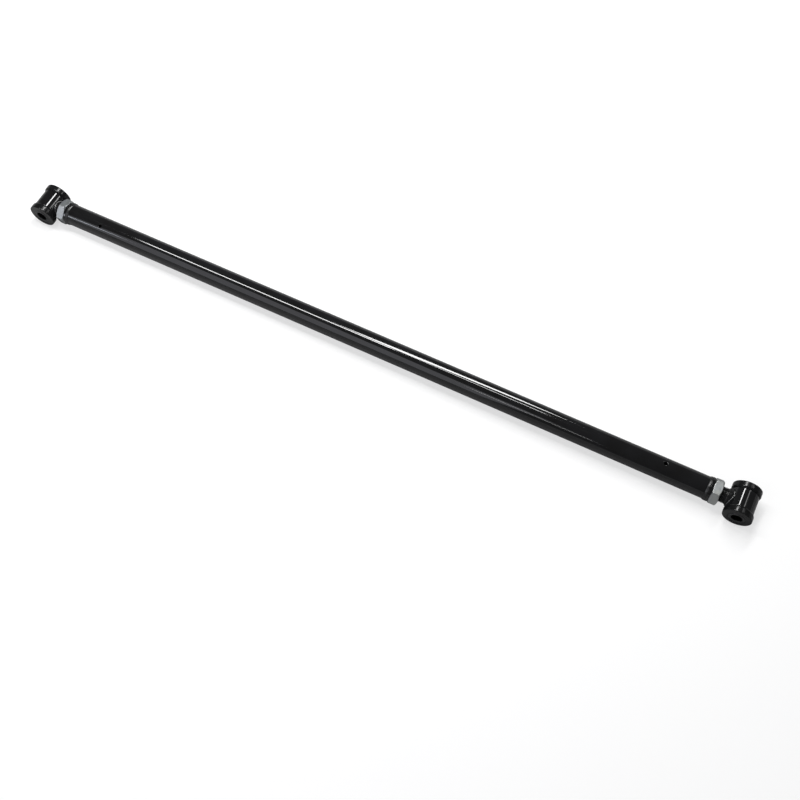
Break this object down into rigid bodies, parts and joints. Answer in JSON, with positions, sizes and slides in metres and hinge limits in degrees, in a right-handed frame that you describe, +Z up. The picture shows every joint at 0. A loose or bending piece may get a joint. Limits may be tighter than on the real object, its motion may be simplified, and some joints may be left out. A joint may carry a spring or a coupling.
{
  "type": "panhard rod",
  "caption": "Straight black tubular panhard rod, adjustable at both ends, with bushed eyes for its mounting bolts.",
  "frame": {"origin": "midway between the two eyes, on the axis of the bar", "axes": "+X along the bar towards the right end, +Y along the bolt sleeves away from the camera, +Z up"},
  "size_m": [1.1468, 0.0482, 0.0404],
  "materials": {
    "black_coat": "gloss black powder coat",
    "zinc_plate": "bright zinc plate",
    "bushing_black": "smooth black polyurethane",
    "sleeve_steel": "dark turned steel"
  },
  "bodies": {
    "bar": {"bar_tube": "black_coat", "left_tube_adapter": "black_coat", "left_adapter_weld": "black_coat", "right_tube_adapter": "black_coat", "right_adapter_weld": "black_coat"},
    "left_end": {"left_stud": "black_coat", "left_stud_weld": "black_coat", "left_eye_shell": "black_coat", "left_front_bushing": "bushing_black", "left_rear_bushing": "bushing_black"},
    "left_nut": {"left_jam_nut": "zinc_plate"},
    "left_bolt_sleeve": {"left_sleeve": "sleeve_steel"},
    "right_end": {"right_stud": "black_coat", "right_stud_weld": "black_coat", "right_eye_shell": "black_coat", "right_front_bushing": "bushing_black", "right_rear_bushing": "bushing_black"},
    "right_nut": {"right_jam_nut": "zinc_plate"},
    "right_bolt_sleeve": {"right_sleeve": "sleeve_steel"}
  },
  "joints": [
    {"name": "left_end_adjust", "type": "slide", "parent": "bar", "child": "left_end", "axis": [-1, 0, 0], "range_m": [-0.0008, 0.025]},
    {"name": "left_nut_turn", "type": "hinge", "parent": "bar", "child": "left_nut", "pos_m": [-0.5241, 0, 0], "axis": [1, 0, 0], "continuous": true},
    {"name": "left_sleeve_turn", "type": "hinge", "parent": "left_end", "child": "left_bolt_sleeve", "pos_m": [-0.55315, 0, 0], "axis": [0, 1, 0], "continuous": true},
    {"name": "right_end_adjust", "type": "slide", "parent": "bar", "child": "right_end", "axis": [1, 0, 0], "range_m": [-0.0088, 0.025]},
    {"name": "right_nut_turn", "type": "hinge", "parent": "bar", "child": "right_nut", "pos_m": [0.5161, 0, 0], "axis": [1, 0, 0], "continuous": true},
    {"name": "right_sleeve_turn", "type": "hinge", "parent": "right_end", "child": "right_bolt_sleeve", "pos_m": [0.55315, 0, 0], "axis": [0, 1, 0], "continuous": true}
  ]
}
